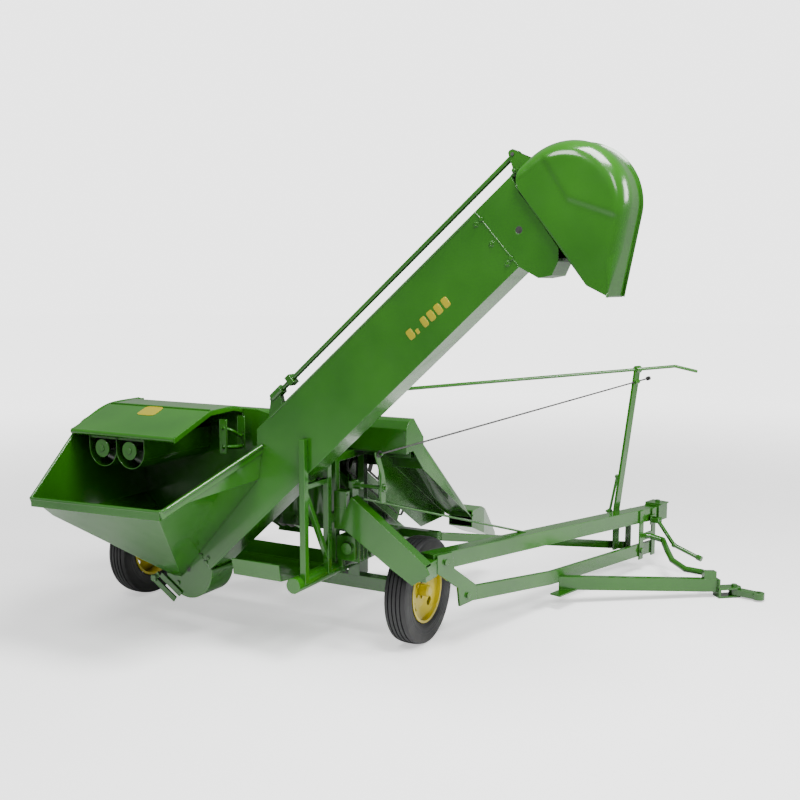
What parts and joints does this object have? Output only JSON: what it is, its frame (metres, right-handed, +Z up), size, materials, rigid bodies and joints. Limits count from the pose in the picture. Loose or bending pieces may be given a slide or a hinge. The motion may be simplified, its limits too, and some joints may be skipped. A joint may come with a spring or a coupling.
{
  "type": "pull-type two-row corn picker",
  "caption": "Pull-type two-row corn picker with a rear ear hopper, a side-delivery elevator with a turned-down spout hood, and an offset hitch.",
  "frame": {"origin": "bottom centre of the whole machine's box, on the ground", "axes": "+X forward, +Y to the machine's left, +Z up"},
  "size_m": [4.2382, 4.4132, 3.17],
  "materials": {
    "green_paint": "gloss",
    "yellow_paint": "gloss",
    "tyre": "matte",
    "dark_steel": "satin"
  },
  "bodies": {
    "frame": {"axle_beam": "green_paint", "beam_tie": "green_paint", "belly_pan": "green_paint", "bent_link": "green_paint", "body_frame": "green_paint", "boot_fittings": "green_paint", "channel_bracket": "green_paint", "control_brackets": "green_paint", "control_post": "green_paint", "conveyor_troughs": "green_paint", "deck_hood": "green_paint", "divider_covers": "green_paint", "drawbar": "green_paint", "drive_gearbox": "green_paint", "elevator_boot": "green_paint", "elevator_chain": "dark_steel", "elevator_head": "green_paint", "elevator_trunk": "green_paint", "elevator_truss": "green_paint", "end_block": "green_paint", "frame_tubes": "green_paint", "hitch_arms": "green_paint", "hitch_beam": "green_paint", "hitch_straps": "green_paint", "hopper": "green_paint", "hopper_bulkhead": "green_paint", "hopper_hood": "green_paint", "pipe_brace": "green_paint", "pivot_block": "green_paint", "row_frames": "green_paint", "side_gearbox": "green_paint", "spout_brackets": "green_paint"},
    "right_wheel": {"right_tyre": "tyre", "right_rim": "yellow_paint", "right_hub": "yellow_paint"},
    "left_wheel": {"left_tyre": "tyre", "left_rim": "yellow_paint", "left_hub": "yellow_paint"},
    "right_nose": {"right_divider_nose": "green_paint"},
    "centre_nose": {"centre_divider_nose": "green_paint"},
    "left_nose": {"left_divider_nose": "green_paint"},
    "right_inner_roll": {"right_row_inner_roll": "dark_steel"},
    "right_outer_roll": {"right_row_outer_roll": "dark_steel"},
    "left_inner_roll": {"left_row_inner_roll": "dark_steel"},
    "left_outer_roll": {"left_row_outer_roll": "dark_steel"},
    "input": {"input_shaft": "dark_steel"},
    "right_conveyor": {"right_auger": "green_paint"},
    "left_conveyor": {"left_auger": "green_paint"},
    "elevator_head_shaft": {"head_shaft": "dark_steel"},
    "elevator_boot_shaft": {"boot_shaft": "dark_steel"},
    "spout": {"spout_hood": "green_paint"},
    "spout_rod": {"lift_rod": "green_paint"},
    "bellcrank_lever": {"bellcrank": "green_paint"},
    "wire": {"control_wire": "dark_steel"},
    "reach_rod": {"control_rod": "green_paint"},
    "hitch_tongue": {"tongue": "green_paint"},
    "handle": {"handle_arm": "green_paint"},
    "lever": {"small_lever": "green_paint"}
  },
  "joints": [
    {"name": "right_wheel_spin", "type": "hinge", "parent": "frame", "child": "right_wheel", "pos_m": [-0.68642, -0.26342, 0.36], "axis": [0, 1, 0], "continuous": true},
    {"name": "left_wheel_spin", "type": "hinge", "parent": "frame", "child": "left_wheel", "pos_m": [-0.68642, 2.12258, 0.36], "axis": [0, 1, 0], "continuous": true},
    {"name": "right_nose_float", "type": "hinge", "parent": "frame", "child": "right_nose", "pos_m": [0.32958, -0.11042, 0.65], "axis": [0, -1, 0], "range_deg": [0, 20]},
    {"name": "centre_nose_float", "type": "hinge", "parent": "frame", "child": "centre_nose", "pos_m": [0.32958, 0.97458, 0.65], "axis": [0, -1, 0], "range_deg": [0, 20]},
    {"name": "left_nose_float", "type": "hinge", "parent": "frame", "child": "left_nose", "pos_m": [0.32958, 2.05958, 0.65], "axis": [0, -1, 0], "range_deg": [0, 20]},
    {"name": "right_inner_roll_spin", "type": "hinge", "parent": "frame", "child": "right_inner_roll", "pos_m": [-0.68642, 0.47458, 1.05], "axis": [0.848, 0, -0.5299], "continuous": true},
    {"name": "right_outer_roll_spin", "type": "hinge", "parent": "frame", "child": "right_outer_roll", "pos_m": [-0.68642, 0.39058, 1.05], "axis": [0.848, 0, -0.5299], "continuous": true},
    {"name": "left_inner_roll_spin", "type": "hinge", "parent": "frame", "child": "left_inner_roll", "pos_m": [-0.68642, 1.47458, 1.05], "axis": [0.848, 0, -0.5299], "continuous": true},
    {"name": "left_outer_roll_spin", "type": "hinge", "parent": "frame", "child": "left_outer_roll", "pos_m": [-0.68642, 1.55858, 1.05], "axis": [0.848, 0, -0.5299], "continuous": true},
    {"name": "input_spin", "type": "hinge", "parent": "frame", "child": "input", "pos_m": [-0.53642, 0.97458, 1.13], "axis": [1, 0, 0], "continuous": true},
    {"name": "right_auger_spin", "type": "hinge", "parent": "frame", "child": "right_conveyor", "pos_m": [-1.18642, 1.28758, 1.337], "axis": [1, 0, 0], "continuous": true},
    {"name": "left_auger_spin", "type": "hinge", "parent": "frame", "child": "left_conveyor", "pos_m": [-1.18642, 1.52158, 1.337], "axis": [1, 0, 0], "continuous": true},
    {"name": "head_shaft_spin", "type": "hinge", "parent": "frame", "child": "elevator_head_shaft", "pos_m": [-1.27142, -1.22042, 2.69], "axis": [1, 0, 0], "continuous": true},
    {"name": "boot_shaft_spin", "type": "hinge", "parent": "frame", "child": "elevator_boot_shaft", "pos_m": [-1.27142, 1.12958, 0.49], "axis": [1, 0, 0], "continuous": true},
    {"name": "spout_raise", "type": "hinge", "parent": "frame", "child": "spout", "pos_m": [-1.27142, -1.18242, 3.01], "axis": [-1, 0, 0], "range_deg": [0, 30]},
    {"name": "spout_rod_slide", "type": "slide", "parent": "frame", "child": "spout_rod", "axis": [0, -0.7524, 0.6587], "range_m": [-0.06, 0.001]},
    {"name": "bellcrank_swing", "type": "hinge", "parent": "frame", "child": "bellcrank_lever", "pos_m": [-0.98642, -0.15542, 1.098], "axis": [0, 1, 0], "range_deg": [-6, 6]},
    {"name": "wire_slide", "type": "slide", "parent": "frame", "child": "wire", "axis": [0.9293, -0.3536, 0.1067], "range_m": [-0.03, 0.03]},
    {"name": "reach_rod_slide", "type": "slide", "parent": "frame", "child": "reach_rod", "axis": [0.8261, -0.5629, 0.0267], "range_m": [-0.07, 0.1]},
    {"name": "tongue_swing", "type": "hinge", "parent": "frame", "child": "hitch_tongue", "pos_m": [1.33942, -1.97587, 0.039], "axis": [0, 0, 1], "range_deg": [-25, 95]},
    {"name": "handle_raise", "type": "hinge", "parent": "frame", "child": "handle", "pos_m": [1.80688, -1.26173, 0.42], "axis": [-0.9686, 0.2488, 0], "range_deg": [0, 60]},
    {"name": "lever_swing", "type": "hinge", "parent": "frame", "child": "lever", "pos_m": [1.50996, -0.93044, 0.52], "axis": [0.2488, 0.9686, 0], "range_deg": [-35, 10]}
  ],
  "couplings": [
    {"joint": "right_outer_roll_spin", "follows": "right_inner_roll_spin", "ratio": -1},
    {"joint": "left_inner_roll_spin", "follows": "right_inner_roll_spin", "ratio": -1},
    {"joint": "left_outer_roll_spin", "follows": "right_inner_roll_spin", "ratio": 1},
    {"joint": "input_spin", "follows": "right_inner_roll_spin", "ratio": 1},
    {"joint": "left_auger_spin", "follows": "right_auger_spin", "ratio": -1},
    {"joint": "boot_shaft_spin", "follows": "head_shaft_spin", "ratio": 1},
    {"joint": "spout_rod_slide", "follows": "spout_raise", "m_per_rad": -0.1005},
    {"joint": "wire_slide", "follows": "bellcrank_swing", "m_per_rad": 0.2518}
  ]
}
